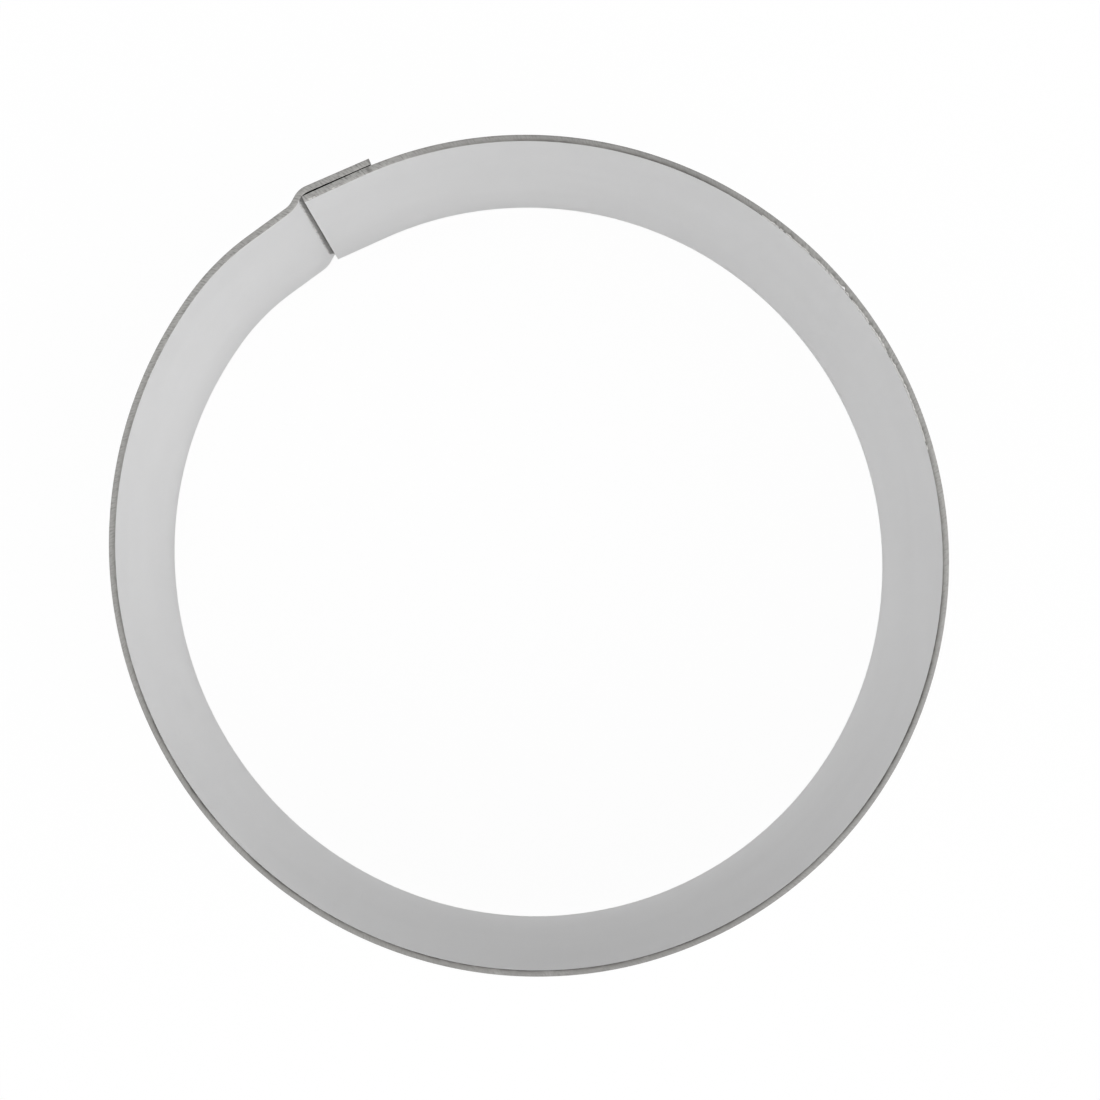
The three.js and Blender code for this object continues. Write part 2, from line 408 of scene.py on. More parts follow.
def smooth_noise(values, scale, row):
    """Smooth noise along an array of lengths, about -1 to 1, with features of a given length."""
    return np.array([noise.noise(NOISE_SEED + Vector((v / scale, row, 0.5 * row))) for v in values])


def fade(values, low, high):
    """From 0 at low to 1 at high, smoothly."""
    t = np.clip((values - low) / (high - low), 0, 1)
    return t * t * (3 - 2 * t)


def between(values, low, high, margin):
    """1 between low and high, fading to 0 within the margin outside them."""
    return fade(values, low - margin, low) * (1 - fade(values, high, high + margin))


def off_ends(travel, low, high):
    """0 up to the low distance from either end of the strip, and 1 from the high one on."""
    return fade(travel, low, high) * fade(travel[-1] - travel, low, high)


def on_hoop(sizes, travel):
    """1 on the hoop's curve and 0 at the lap and the joggle."""
    start = sizes.flat_end + sizes.lap_length
    end = travel[-1] - 2 * sizes.lap_length
    return between(travel, start, end, sizes.lap_length / 2)


WORN_MARGIN = math.radians(4)  # turn over which the wear begins and ends


def worn_share(sizes, travel, turns):
    """1 in the worn stretch of the hoop and 0 elsewhere."""
    return on_hoop(sizes, travel) * between(turns, *WORN_STRETCH, WORN_MARGIN)


def spots(sizes, turns, places):
    """1 in the middle of each place, fading to 0 outside it."""
    middle = sizes.inside_diameter / 2
    return sum(np.exp(-(((turns - math.radians(t)) * middle / half) ** 2)) for t, half in places)


BREAK_TURNS = (0, 20, 36, 58, 68, 95, 115, 140, 270, 300, 325, 360)  # degrees
BREAK_STRENGTHS = (0.25, 0.6, 0.9, 0.75, 0.4, 0.35, 0.6, 1, 1, 0.6, 0.2, 0.25)
BREAK_MEAN = 0.95  # of those strengths
BREAK_SWING = 0.5  # about that mean
RAG_SWING = 0.5  # about that again, in the worn stretch


def break_strength(sizes, travel, turns):
    """How plainly the upper rim's break line shows: it is rubbed away at the lap and in places."""
    kept = on_hoop(sizes, travel) * np.interp(np.degrees(turns), BREAK_TURNS, BREAK_STRENGTHS)
    kept = kept * (1 - RUB_STRENGTH * spots(sizes, turns, RUBS))
    drift = BREAK_MEAN + BREAK_SWING * smooth_noise(travel, *BREAK_DRIFT)
    ragged = worn_share(sizes, travel, turns) * smooth_noise(travel, *BREAK_RAGS)
    return np.clip(kept * drift + RAG_SWING * ragged, 0, 1)


# Painted shade: between these turns the upper rim is darkened towards the torn colour, on one side
# of the ring
PAINTED_SHADE_TURNS = (150, 175, 195, 215, 235, 250)  # degrees
PAINTED_SHADE_STRENGTHS = (0, 0.4, 0.55, 0.45, 0.25, 0)


def painted_rim_shade_and_spots(sizes, travel, turns):
    """How far the upper rim is darkened: painted shade on one side and at the tail's tip, and a dark
    spot.
    """
    # painted shade over one side of the ring
    stretch = np.interp(np.degrees(turns), PAINTED_SHADE_TURNS, PAINTED_SHADE_STRENGTHS)
    stretch = stretch * (1 - RUB_STRENGTH * spots(sizes, turns, RUBS))
    # a dark spot on the inner sheet's rim
    spot_darkening = spots(sizes, turns, DARK_SPOTS) * (travel < travel[-1] / 2)
    # painted shade at the tail's tip
    tip = fade(travel, travel[-1] - 2 * TIP_PAINTED_SHADE, travel[-1] - TIP_PAINTED_SHADE / 2)
    return np.maximum(stretch, np.maximum(spot_darkening, tip))


ROLL_SWING = 0.3  # share by which the inside edges' rounding wanders
CHIP_GAIN = 2  # how abruptly chips begin and end
TOOTH_GAIN = 2.6  # how abruptly the burr's teeth do
TOOTH_LOSS = 0.6  # how far teeth are missing where the edge is chipped
LEAST_WEAR = 0.08  # outside the worn stretch
END_WEAR = 0.8  # at the inner end
END_STRETCH = (4 * MM, 5.5 * MM)  # travel over which that wear fades out


def edge_wear(sizes, edges, travel, turns):
    """Rounding of the upper inside edge along the strip, chipped and nicked, and its burr."""
    drift = 1 + ROLL_SWING * smooth_noise(travel, *UPPER_DRIFT)
    coarse = smooth_noise(travel, *COARSE_CHIPS)
    chips = np.clip(CHIP_GAIN * smooth_noise(travel, *FINE_CHIPS) + coarse, 0, 1)
    teeth = np.clip(TOOTH_GAIN * smooth_noise(travel, *BURR_TEETH) - TOOTH_LOSS * coarse, 0, 1)
    in_stretch = worn_share(sizes, travel, turns)
    worn = LEAST_WEAR + (1 - LEAST_WEAR) * in_stretch
    worn_end = END_WEAR * (1 - fade(travel, *END_STRETCH))
    roll = edges.rollover * drift + edges.raggedness * np.maximum(worn, worn_end) * chips
    roll = roll + edges.worn_round * in_stretch
    for turn, half_width, depth in NICKS:
        roll = roll + depth * on_hoop(sizes, travel) * spots(sizes, turns, [(turn, half_width)])
    tail_root = travel[-1] - sizes.lap_length
    in_lap = fade(travel, tail_root - sizes.lap_length / 2, tail_root)
    roll = roll + (edges.lap_edge - roll) * in_lap
    return roll, edges.burr * worn * teeth * (1 - in_lap)


LAP_MARGIN = 1.2  # lap lengths from the inner end's cut, up to which its outside edge is tighter


def outer_rounding(sizes, edges, travel):
    """Rounding of the outside edge along the strip, tighter where the tail laps over it."""
    in_lap = 1 - fade(travel, sizes.lap_length, LAP_MARGIN * sizes.lap_length)
    return edges.outer_round + (edges.lap_edge - edges.outer_round) * in_lap


WAVE_FREE = 14 * MM  # stretch at each end of the strip that has no waves
EVEN_SHARE, LONG_SHARE, SLOW_SHARE = 0.5, 0.3, 0.2  # of the waves
LEAN_TOP = 1.03  # heights of the band up from its foot, where the lap's lean comes to nothing


def wall_waves(edges, travel, heights):
    """How far each place on the wall stands outside its curve: small waves, and the lap's lean."""
    share_up = heights / BAND_HEIGHT
    long_waves = smooth_noise(travel, *LONG_WAVES)[:, None]
    slow_waves = smooth_noise(travel, *SLOW_WAVES)[:, None] * np.cos(math.pi * share_up)
    waves = EVEN_SHARE + LONG_SHARE * long_waves + SLOW_SHARE * slow_waves
    free = off_ends(travel, WAVE_FREE, 2 * WAVE_FREE)[:, None]
    at_lap = 1 - off_ends(travel, WAVE_FREE, 3 * WAVE_FREE)[:, None]
    return -edges.waviness * (free * waves) - edges.lap_lean * at_lap * (LEAN_TOP - share_up)


def seam_slide(sizes, edges, travel, heights):
    """How far each place is moved along the strip, because cut and joggle aren't quite upright."""
    tail_root = travel[-1] - sizes.lap_length
    past_flat = fade(travel, 0, sizes.flat_end)
    before_joggle = fade(tail_root - travel, 0, sizes.flat_end)
    tail_end = fade(travel, tail_root, travel[-1] - sizes.lap_length / 2)
    at_seam = (1 - past_flat * before_joggle) * (1 - tail_end)
    return edges.seam_lean * at_seam[:, None] * (0.5 - heights / BAND_HEIGHT)


def weld_distance(sizes, travel, heights):
    """Distance of each place on the strip from the nearest weld of the tail."""
    along = travel - (travel[-1] - sizes.lap_length / 2)
    return np.min([np.hypot(along[:, None], heights - z) for z in weld_heights()], axis=0)


# Materials


class Nodes:
    """Shorthand for building the node tree of a material or a world."""

    def __init__(self, owner):
        self.owner = owner
        owner.use_nodes = True
        self.tree = owner.node_tree
        self.tree.nodes.clear()

    def add(self, kind, *values, **settings):
        """A node with its first inputs fed in order, and attributes and other inputs by name."""
        node = self.tree.nodes.new(kind)
        for key, value in settings.items():
            if hasattr(node, key):
                setattr(node, key, value)
            else:
                self.feed(value, node.inputs[key.replace("_", " ")])
        for value, target in zip(values, node.inputs):
            self.feed(value, target)
        return node

    def feed(self, value, target):
        """Links a socket to an input, or gives it a value. A colour is three numbers."""
        if isinstance(value, bpy.types.NodeSocket):
            self.tree.links.new(value, target)
        elif target.type == "RGBA":
            target.default_value = (*value, 1)
        else:
            target.default_value = value


# Noise textures: features per millimetre along the strip, per sheet across it and per millimetre up
ROLLING_LINES = (0.05, 1.0, 9.0)
CLOUDS = (0.09, 1.0, 0.16)
BORDER_WANDER = (1.5, 0.0, 0.4)
EDGE_PATCHES = (1.1, 3.0, 1.1)
BARED_PATCHES = (4.0, 4.0, 4.0)
SHEAR_SLANT = (6.0, 2.0, 3.0)
NUGGET_GRAIN = 1.6 / MM  # features per metre
NOISE_LOW, NOISE_HIGH = 0.3, 0.7  # most of a noise texture lies between these
WHITE = (1, 1, 1)


def attribute(nodes, name, output="Fac"):
    """What the band's mesh holds under a name."""
    return nodes.add("ShaderNodeAttribute", attribute_name=name).outputs[output]


def maths(nodes, operation, *values):
    """Result of an operation on values, each a socket or a number."""
    return nodes.add("ShaderNodeMath", *values, operation=operation).outputs[0]


def times(nodes, first, second):
    """Product of two values."""
    return maths(nodes, "MULTIPLY", first, second)


def noise_texture(nodes, vector, scale, detail):
    """Noise from 0 to 1."""
    texture = nodes.add("ShaderNodeTexNoise", Vector=vector, Scale=scale, Detail=detail)
    return texture.outputs["Fac"]


def grain(nodes, features, detail=2.0):
    """Noise in the strip's own coordinates, from 0 to 1."""
    place = attribute(nodes, "strip", "Vector")
    scaled = nodes.add("ShaderNodeVectorMath", place, features, operation="MULTIPLY")
    return noise_texture(nodes, scaled.outputs["Vector"], 1.0, detail)


def spread(nodes, value, low, high, first, last, kind="LINEAR"):
    """From the first number to the last one while a value goes from low to high."""
    limits = {"From_Min": low, "From_Max": high, "To_Min": first, "To_Max": last}
    node = nodes.add("ShaderNodeMapRange", interpolation_type=kind, Value=value, **limits)
    return node.outputs["Result"]


def ranged(nodes, value, first, last):
    """A noise brought to a range."""
    return spread(nodes, value, NOISE_LOW, NOISE_HIGH, first, last)


def mixed(nodes, factor, first, second, kind="MIX"):
    """Two colours mixed by a factor."""
    node = nodes.add("ShaderNodeMix", data_type="RGBA", blend_type=kind)
    for key, value in (("Factor_Float", factor), ("A_Color", first), ("B_Color", second)):
        nodes.feed(value, next(s for s in node.inputs if s.identifier == key))
    return next(s for s in node.outputs if s.identifier == "Result_Color")


def shaded(nodes, value, stops):
    """Colours along a value from 0 to 1: each stop is a place and a colour."""
    ramp = nodes.add("ShaderNodeValToRGB", value)
    elements = ramp.color_ramp.elements
    while len(elements) < len(stops):
        elements.new(0.5)
    for element, (place, rgb) in zip(elements, stops):
        element.position = place
        element.color = (*rgb, 1)
    return ramp.outputs["Color"]


def toned(rgb, factor):
    """A colour times a factor, no paler than white."""
    return tuple(min(1, factor * c) for c in rgb)


def bumped(nodes, height, strength, depth):
    """Normal of a surface with small bumps."""
    bump = nodes.add("ShaderNodeBump", Strength=strength, Distance=depth, Height=height)
    return bump.outputs["Normal"]


def steel(nodes, base, roughness, normal=None):
    """The finished material: bare metal of a colour and a roughness."""
    shader = nodes.add(
        "ShaderNodeBsdfPrincipled", Metallic=1.0, Base_Color=base, Roughness=roughness
    )
    if normal is not None:
        nodes.feed(normal, shader.inputs["Normal"])
    nodes.add("ShaderNodeOutputMaterial", Surface=shader.outputs["BSDF"])
    return nodes.owner


CLOUD_TONES = (0.97, 1.02)  # deepest and palest, of the wall's colour
CLOUD_BLUR = (-0.03, 0.02)  # least and most that clouds add to the wall's roughness
LINE_TONE = 0.7  # of the wall's colour
LINE_STRENGTH = 0.02
LINE_BLUR = (-0.02, 0.02)
LINE_BUMP = 0.06
LINE_DEPTH = 0.01 * MM


def satin_material(finish):
    """Cold-rolled satin sheet: fine lines along the strip, clouds and heat tint at the welds."""
    nodes = Nodes(bpy.data.materials.new("satin_rolled_steel"))
    lines = grain(nodes, ROLLING_LINES, detail=4.0)
    clouds = grain(nodes, CLOUDS, detail=3.0)
    deep, pale = (toned(finish.wall, tone) for tone in CLOUD_TONES)
    base = mixed(nodes, ranged(nodes, clouds, 0.0, 1.0), deep, pale)
    lined = ranged(nodes, lines, 0.0, LINE_STRENGTH)
    base = mixed(nodes, lined, base, toned(finish.wall, LINE_TONE))
    stops = ((0.0, WHITE), (0.3, finish.straw), (0.5, finish.blue), (1.0, finish.pressed))
    tint = shaded(nodes, attribute(nodes, "heat_tint"), stops)
    base = mixed(nodes, 1.0, base, tint, "MULTIPLY")
    cloud_blur = ranged(nodes, clouds, *(finish.wall_roughness + blur for blur in CLOUD_BLUR))
    roughness = maths(nodes, "ADD", cloud_blur, ranged(nodes, lines, *LINE_BLUR))
    return steel(nodes, base, roughness, bumped(nodes, lines, LINE_BUMP, LINE_DEPTH))


BORDER_RANGE = (0.44, 0.56)  # added to places across the sheet, so that they run from about 0 to 1
MARK_TONE = 0.7  # of the torn colour
MARK_RANGE = (-0.45, 0.8)  # faintest and plainest shear marks, where less than 0 is none
MARK_BUMP = 0.3
MARK_DEPTH = 0.02 * MM
MARKS_AT_BREAK = 0.45  # share of the marks that is left where the break line is plainest
PATCH_RANGE = (-0.2, 0.3)  # faintest and plainest rubbed patches, likewise
EDGE_ROUGHNESS = (0.48, 0.6)
LAND_BORDER = (0.16, 0.21)  # places across the sheet where the land ends


def edge_material(finish, name, stops, rubbed, land):
    """A cut edge: colours across it at the stops, with slanting shear marks and small patches.

    Where rubbed is true, those colours come and go with the strength of the break line, and the
    marks are plainer where it is weak. The innermost part is as rough as the rest times land.
    """
    nodes = Nodes(bpy.data.materials.new(name))
    place = attribute(nodes, "strip", "Vector")
    across = nodes.add("ShaderNodeSeparateXYZ", place).outputs["Y"]
    wander = ranged(nodes, grain(nodes, BORDER_WANDER, detail=3.0), *BORDER_RANGE)
    border = maths(nodes, "ADD", across, wander)
    base = shaded(nodes, border, stops)
    slant = nodes.add("ShaderNodeVectorMath", place, SHEAR_SLANT, operation="DOT_PRODUCT")
    streak = nodes.add("ShaderNodeCombineXYZ", slant.outputs["Value"], across).outputs[0]
    marks = noise_texture(nodes, streak, 1.0, 3.0)
    patches = grain(nodes, EDGE_PATCHES)
    plainness = 1.0
    if rubbed:
        tear = attribute(nodes, "tear")
        plainness = spread(nodes, tear, 0, 1, 1.0, MARKS_AT_BREAK)
        base = mixed(nodes, tear, finish.rubbed, base)
        # Painted shade: the rim goes towards the torn colour on one side of the ring and at the
        # tail's tip, and at a dark spot
        base = mixed(nodes, attribute(nodes, "painted_shade_and_spots"), base, finish.torn)
    marked = times(nodes, ranged(nodes, marks, *MARK_RANGE), plainness)
    base = mixed(nodes, marked, base, toned(finish.torn, MARK_TONE))
    base = mixed(nodes, ranged(nodes, patches, *PATCH_RANGE), base, finish.rubbed)
    on_land = spread(nodes, border, *LAND_BORDER, land, 1.0)
    roughness = times(nodes, ranged(nodes, patches, *EDGE_ROUGHNESS), on_land)
    normal = bumped(nodes, marks, times(nodes, MARK_BUMP, plainness), MARK_DEPTH)
    return steel(nodes, base, roughness, normal)


def rim_material(finish):
    """The rims: a dark broken line along the inside edge, burnished towards the outside."""
    stops = (
        (0.15, finish.break_line),
        (0.28, finish.torn),
        (0.6, finish.burnished),
        (1.0, finish.burnished),
    )
    return edge_material(finish, "sheared_rim_steel", stops, rubbed=True, land=1.0)


def cut_material(finish):
    """The two upright cuts: burnished inside; dark outside, partly torn and partly painted crevice
    shade.
    """
    # The torn colour on the outer part of each cut is partly the break and partly painted shade of
    # the crevice between the sheets
    stops = ((0.17, finish.land), (0.2, finish.cut), (0.85, finish.torn), (1.0, finish.torn))
    return edge_material(finish, "upright_cut_steel", stops, rubbed=False, land=0.25)


BARED_TONE = 0.75  # of the bared colour, in its darker patches
BARED_ROUGHNESS = 0.45


def bared_material(finish):
    """Worn and chipped stretches of the inside edge: about as pale as the wall, but rough."""
    nodes = Nodes(bpy.data.materials.new("bared_edge_steel"))
    patches = ranged(nodes, grain(nodes, BARED_PATCHES), 0.0, 1.0)
    base = mixed(nodes, patches, toned(finish.bared, BARED_TONE), finish.bared)
    return steel(nodes, base, BARED_ROUGHNESS)


NUGGET_TONE = 0.6  # of the nugget's colour, in its darker grains
NUGGET_ROUGHNESS = (0.5, 0.7)
NUGGET_BUMP = 0.3
NUGGET_DEPTH = 0.05 * MM


def nugget_material(finish):
    """Fused and frozen steel, matt and grainy."""
    nodes = Nodes(bpy.data.materials.new("fused_nugget_steel"))
    place = nodes.add("ShaderNodeTexCoord").outputs["Object"]
    grains = noise_texture(nodes, place, NUGGET_GRAIN, 4.0)
    dark = toned(finish.nugget, NUGGET_TONE)
    base = mixed(nodes, ranged(nodes, grains, 0.0, 1.0), dark, finish.nugget)
    roughness = ranged(nodes, grains, *NUGGET_ROUGHNESS)
    return steel(nodes, base, roughness, bumped(nodes, grains, NUGGET_BUMP, NUGGET_DEPTH))


# The band's mesh. Its rows run up the inside wall, over the upper rim, down the outside wall and
# back under the lower rim, and every station of the strip has a place on every row.

NEARLY_UP = 0.9  # rows that face up or down by at least this are uneven


def band_section(sizes, edges, turns, travel):
    """Places across and up, count of rows in each wall, and rounding of the upper inside edge."""
    levels = wall_levels(edges)
    inside = np.tile(levels, (len(travel), 1))
    wall = np.full_like(inside, sizes.sheet / 2)
    outer = outer_rounding(sizes, edges, travel)
    roll, burr = edge_wear(sizes, edges, travel, turns)
    lower_roll = edges.rollover * (1 + ROLL_SWING * smooth_noise(travel, *LOWER_DRIFT))
    upper_across, upper_depth = rim_section(sizes, edges, roll, burr, outer)
    lower_across, lower_depth = rim_section(sizes, edges, lower_roll, 0 * burr, outer)
    across = np.hstack([-wall, upper_across, wall, lower_across[:, ::-1]])
    up = np.hstack([inside, BAND_HEIGHT - upper_depth, inside[:, ::-1], lower_depth[:, ::-1]])
    return across, up, len(levels), roll


def section_directions(rows):
    """Outward directions, across and up, of every row of the band."""
    rim_across, rim_up = rim_directions()
    ones = np.ones(rows)
    across = np.concatenate([-ones, rim_across, ones, rim_across[::-1]])
    return across, np.concatenate([0 * ones, rim_up, 0 * ones, -rim_up[::-1]])


def rim_dips(edges, travel, out_up):
    """How far each place on the rims lies below flat."""
    dips = np.zeros((len(travel), len(out_up)))
    feature, first_row = RIM_DIPS
    for row in np.flatnonzero(abs(out_up) > NEARLY_UP):
        dip = abs(smooth_noise(travel, feature, first_row + DIP_ROW_STEP * row))
        dips[:, row] = dip * edges.unevenness
    return dips


WALL, RIM, CUT, BARED = range(4)  # material slots of the band


def band_faces(stations, around, rows, edge_slots):
    """Faces of the band and their material slots: a grid of quads, and ladders on the two cuts.

    Around is the count of places at each station, and rows that of each wall. The edge slots are
    those of the upper inside edge at the stations.
    """
    i, j = np.meshgrid(np.arange(stations - 1), np.arange(around), indexing="ij")
    k = (j + 1) % around
    here, there = i * around, (i + 1) * around
    quads = np.stack([here + j, there + j, there + k, here + k], axis=2)
    faces = quads.reshape(-1, 4).tolist()
    half = around // 2
    on_rim = (j % half >= rows) & (j % half < half - 1)
    on_edge = (j >= rows) & (j < rows + ROLL_STEPS - 1)
    slots = np.where(on_edge, edge_slots[i], np.where(on_rim, RIM, WALL)).ravel().tolist()
    for base, flip in ((0, False), ((stations - 1) * around, True)):
        inside = [base + n for n in range(rows)]
        outside = [base + half + rows - 1 - n for n in range(rows)]
        upper = [base + n for n in range(rows - 1, half + 1)]
        lower = [base + n % around for n in range(half + rows - 1, around + 1)]
        caps = [[inside[n], inside[n + 1], outside[n + 1], outside[n]] for n in range(rows - 1)]
        caps += [upper, lower]
        faces += [c[::-1] if flip else c for c in caps]
        slots += [CUT] * len(caps)
    return faces, slots


BAKE_MAP = "OFBake"  # the name that the exporter looks for
BAKE_ROWS = 2  # name of the strip's unrolled map
BAKE_GAP = 0.006
CUT_PLACES = (0.965, 0.985)  # across the map, to the right of the rows


def lay_out(mesh, travel, across, up, grid_faces):
    """A map of the unrolled strip in rows, one above another, with its two cuts beside them."""
    around = across.shape[1]
    across, up = across.mean(axis=0), up.mean(axis=0)
    steps = np.hypot(np.diff(across, append=across[0]), np.diff(up, append=up[0]))
    along_section = np.concatenate([[0], np.cumsum(steps)])
    scale = (1 / BAKE_ROWS - BAKE_GAP) / along_section[-1]
    reach = travel[-1] / BAKE_ROWS
    i, j = np.divmod(np.arange(grid_faces), around)
    row = np.minimum((travel[i] / reach).astype(int), BAKE_ROWS - 1)
    corners = []
    for step_i, step_j in ((0, 0), (1, 0), (1, 1), (0, 1)):
        u = (travel[i + step_i] - row * reach) * scale + BAKE_GAP / 2
        v = along_section[j + step_j] * scale + row / BAKE_ROWS + BAKE_GAP / 2
        corners.append(np.stack([u, v], axis=1))
    grid_map = np.stack(corners, axis=1).reshape(-1, 2)

    vertex = np.empty(len(mesh.loops), dtype=int)
    mesh.loops.foreach_get("vertex_index", vertex)
    station, place = np.divmod(vertex[len(grid_map) :], around)
    u = np.where(station == 0, *CUT_PLACES) + across[place] * scale
    cut_map = np.stack([u, up[place] * scale + BAKE_GAP / 2], axis=1)
    layer = mesh.uv_layers.new(name=BAKE_MAP)
    layer.data.foreach_set("uv", np.concatenate([grid_map, cut_map]).ravel())


def put(name, data):
    """A new object in the scene."""
    placed = bpy.data.objects.new(name, data)
    bpy.context.scene.collection.objects.link(placed)
    return placed


HEAT_FADE = (0.5, 1.6)  # radii of an electrode mark over which the heat tint fades
DENT_FADE = (0.55, 1.0)  # radii over which the mark rises to the wall
CHIP_SHIFT = 1.3  # how far a rim's colours move out at a chip, in depths of that chip


def make_band(sizes, edges, finish):
    """The band as one mesh object."""
    points, headings, insets = with_round_ends(strip_path(sizes), edges.end_round)
    travel = np.concatenate([[0], np.cumsum(abs(np.diff(points)))])
    turns = np.angle(1j * np.conj(points)) % (2 * math.pi)
    across, up, rows, roll = band_section(sizes, edges, turns, travel)
    stations, around = across.shape
    out_across, out_up = section_directions(rows)
    heights = up.mean(axis=0)
    from_edge = across - CHIP_SHIFT * np.maximum(roll - edges.rollover, 0)[:, None]
    along = np.tile(travel[:, None], around)
    strip = np.stack([along / MM, from_edge / sizes.sheet, up / MM], axis=2)
    from_weld = weld_distance(sizes, travel, heights) / (edges.dent_diameter / 2)
    faces_out = out_across == 1
    heat = (1 - fade(from_weld, *HEAT_FADE)) * faces_out
    dent = edges.dent_depth * (1 - fade(from_weld, *DENT_FADE)) * faces_out

    across = across - insets[:, None] * out_across - dent
    up = up - insets[:, None] * out_up - rim_dips(edges, travel, out_up) * np.sign(out_up)
    forward = np.exp(1j * headings)[:, None]
    places = points[:, None] + (across + wall_waves(edges, travel, heights)) * (1j * forward)
    places = places + seam_slide(sizes, edges, travel, heights) * forward
    vertices = np.stack([places.real, places.imag, up], axis=2).reshape(-1, 3)
    edge_slots = np.where(roll > edges.bright, WALL, np.where(roll > edges.bared, BARED, RIM))
    faces, slots = band_faces(stations, around, rows, edge_slots)

    mesh = bpy.data.meshes.new("rolled_band")
    mesh.from_pydata(vertices.tolist(), [], faces)
    mesh.polygons.foreach_set("material_index", slots)
    mesh.polygons.foreach_set("use_smooth", [True] * len(faces))
    held = mesh.attributes.new("strip", "FLOAT_VECTOR", "POINT")
    held.data.foreach_set("vector", strip.ravel())
    marks = {
        "heat_tint": heat.ravel(),
        "tear": np.repeat(break_strength(sizes, travel, turns), around),
        # painted shade on the rim, with its dark spot
        "painted_shade_and_spots": np.repeat(painted_rim_shade_and_spots(sizes, travel, turns), around),
    }
    for name, values in marks.items():
        mesh.attributes.new(name, "FLOAT", "POINT").data.foreach_set("value", values)
    for material in (satin_material, rim_material, cut_material, bared_material):
        mesh.materials.append(material(finish))
    lay_out(mesh, travel, across, up, (stations - 1) * around)
    mesh.update()
    if mesh.validate():
        raise RuntimeError("the band's mesh had faults")
    return put("rolled_band", mesh)


class MOUSSE_RING_OT_band(bpy.types.Operator):
    """Build the rolled band with its joggled lap and sheared edges"""

    bl_idname = "mousse_ring.band"
    bl_label = "Rolled Band"

    def execute(self, context):
        scene = context.scene
        band = make_band(scene.ring_strip, scene.ring_edges, scene.ring_finish)
        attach(band, "root")
        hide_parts(BAND_NODE)
        return {"FINISHED"}


class MOUSSE_RING_OT_welds(bpy.types.Operator):
    """Give the weld nuggets in the lap their fused steel"""

    bl_idname = "mousse_ring.welds"
    bl_label = "Spot Welds"

    def execute(self, context):
        if not WELD_NODES:
            raise RuntimeError("the frame has no spot welds")
        fused = nugget_material(context.scene.ring_finish)
        for name in WELD_NODES:
            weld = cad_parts[name]
            weld.data.materials.clear()
            weld.data.materials.append(fused)
        return {"FINISHED"}


# The stage

FLOOR_HALF = 4.0  # metres
SENSOR_WIDTH = 36  # millimetres
CLIP_NEAR, CLIP_FAR = 0.01, 50  # metres


def whiteness(nodes, to_camera, in_mirrors):
    """How much of a surface is plain white to the camera, and how much in metal and glass."""
    path = nodes.add("ShaderNodeLightPath").outputs
    mirrored = maths(nodes, "MAXIMUM", path["Is Glossy Ray"], path["Is Transmission Ray"])
    seen = times(nodes, path["Is Camera Ray"], to_camera)
    return maths(nodes, "MULTIPLY_ADD", mirrored, in_mirrors, seen)


def make_floor(studio):
    """A pale floor that reads as white and still keeps a soft shadow."""
    nodes = Nodes(bpy.data.materials.new("pale_floor"))
    lit = nodes.add(
        "ShaderNodeBsdfPrincipled",
        subsurface_method="BURLEY",
        Base_Color=studio.floor,
        Roughness=1.0,
        Specular_IOR_Level=0,
        Subsurface_Weight=1,
        Subsurface_Radius=(1, 1, 1),
        Subsurface_Scale=studio.floor_depth,
    )
    white = nodes.add("ShaderNodeEmission", Color=WHITE, Strength=1.0)
    white_share = whiteness(nodes, studio.floor_glow, studio.mirrored_glow)
    mix = nodes.add("ShaderNodeMixShader", white_share, lit.outputs[0], white.outputs[0])
    nodes.add("ShaderNodeOutputMaterial", Surface=mix.outputs[0])
    mesh = bpy.data.meshes.new("floor")
    corners = [(x * FLOOR_HALF, y * FLOOR_HALF, 0) for x, y in ((-1, -1), (1, -1), (1, 1), (-1, 1))]
    mesh.from_pydata(corners, [], [(0, 1, 2, 3)])
    mesh.materials.append(nodes.owner)
    floor = put("floor", mesh)


def way_to(turn, height):
    """Unit step towards a direction in plan and a height over the floor."""
    level = math.cos(height)
    return Vector((level * math.cos(turn), level * math.sin(turn), math.sin(height)))


def make_world(studio):
    """A dim studio with two wide soft lights, plain white to the camera."""
    nodes = Nodes(bpy.data.worlds.new("studio"))
    where = nodes.add("ShaderNodeTexCoord").outputs["Generated"]
    upward = nodes.add("ShaderNodeSeparateXYZ", where).outputs["Z"]

    def rising(top, first, last):
        """From the first number at eye level to the last one at a share of the way up."""
        return spread(nodes, upward, 0, top, first, last, "SMOOTHSTEP")

    level = rising(1, studio.horizon, studio.zenith)
    light_rise = rising(studio.light_rise, 0, 1)
    lights = (
        (studio.left_light, way_to(studio.left_turn, studio.left_height)),
        (studio.right_light, way_to(studio.right_turn, studio.right_height)),
    )
    edge, core = math.cos(studio.light_width / 2), math.cos(studio.core_width / 2)
    for strength, way in lights:
        toward = nodes.add("ShaderNodeVectorMath", where, way, operation="DOT_PRODUCT")
        lit = spread(nodes, toward.outputs["Value"], edge, core, 0, strength, "SMOOTHSTEP")
        level = maths(nodes, "MULTIPLY_ADD", lit, light_rise, level)
    sky = nodes.add("ShaderNodeBackground", Color=WHITE, Strength=level)
    white = nodes.add("ShaderNodeBackground", Color=WHITE, Strength=1.0)
    glow = rising(studio.backdrop_rise, studio.backdrop_glow, studio.mirrored_glow)
    white_share = whiteness(nodes, 1.0, glow)
    mix = nodes.add("ShaderNodeMixShader", white_share, sky.outputs[0], white.outputs[0])
    nodes.add("ShaderNodeOutputWorld", Surface=mix.outputs[0])
    bpy.context.scene.world = nodes.owner


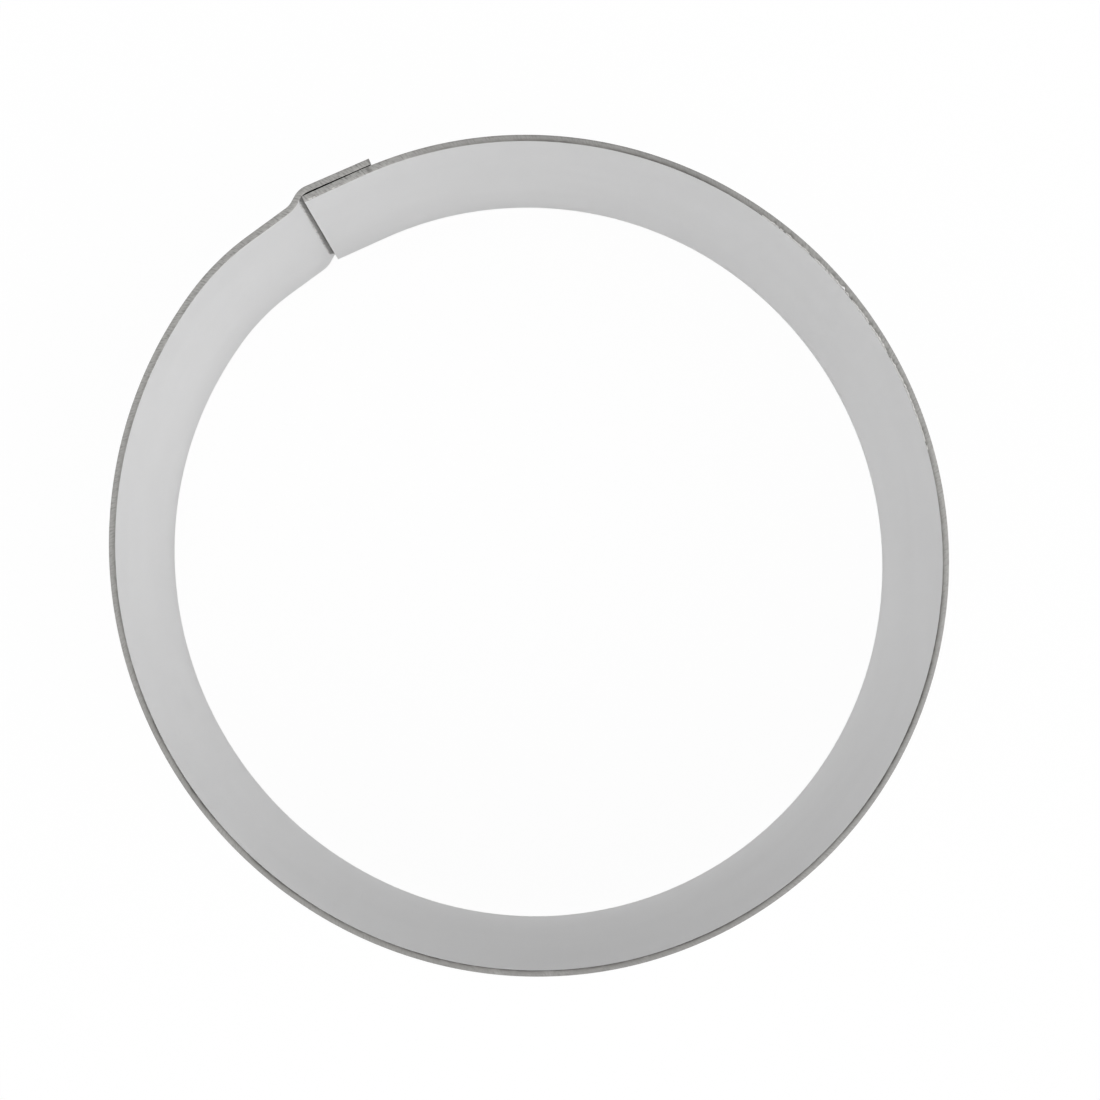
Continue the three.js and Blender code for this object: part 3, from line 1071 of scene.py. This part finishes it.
def make_camera(studio):
    """The camera, above the ring and looking straight down."""
    data = bpy.data.cameras.new("camera")
    data.sensor_width = SENSOR_WIDTH
    data.lens = studio.lens
    data.shift_x, data.shift_y = studio.shift_x, studio.shift_y
    data.clip_start, data.clip_end = CLIP_NEAR, CLIP_FAR
    camera = put("camera", data)
    camera.location = (studio.camera_x, studio.camera_y, studio.camera_z)
    camera.rotation_euler = (0, 0, studio.camera_turn)
    bpy.context.scene.camera = camera


class MOUSSE_RING_OT_stage(bpy.types.Operator):
    """Set up the floor, the light and the camera"""

    bl_idname = "mousse_ring.stage"
    bl_label = "Stage"

    def execute(self, context):
        studio = context.scene.ring_studio
        make_floor(studio)
        make_world(studio)
        make_camera(studio)
        context.scene.view_settings.view_transform = "Standard"
        return {"FINISHED"}


class MOUSSE_RING_PT_sidebar(bpy.types.Panel):
    """Lists the ring's pieces and their sizes"""

    bl_idname = "MOUSSE_RING_PT_sidebar"
    bl_label = "Mousse Ring"
    bl_space_type = "VIEW_3D"
    bl_region_type = "UI"
    bl_category = "Mousse Ring"

    def draw(self, context):
        for operator in OPERATORS:
            self.layout.operator(operator.bl_idname)
        for name in GROUPS:
            group = getattr(context.scene, name)
            box = self.layout.box()
            for key in group.__annotations__:
                box.prop(group, key)


GROUPS = {
    "ring_strip": StripSizes,
    "ring_edges": EdgeSizes,
    "ring_finish": SteelFinish,
    "ring_studio": StudioSettings,
}
OPERATORS = (MOUSSE_RING_OT_band, MOUSSE_RING_OT_welds, MOUSSE_RING_OT_stage)
CLASSES = (*GROUPS.values(), *OPERATORS, MOUSSE_RING_PT_sidebar)


def register():
    """Adds the ring's classes and settings to Blender."""
    for cls in CLASSES:
        bpy.utils.register_class(cls)
    for name, group in GROUPS.items():
        setattr(bpy.types.Scene, name, PointerProperty(type=group))


def unregister():
    """Takes them out again."""
    for name in GROUPS:
        delattr(bpy.types.Scene, name)
    for cls in reversed(CLASSES):
        bpy.utils.unregister_class(cls)


def main():
    register()
    bpy.ops.mousse_ring.stage()
    bpy.ops.mousse_ring.band()
    bpy.ops.mousse_ring.welds()


if __name__ == "__main__":
    main()
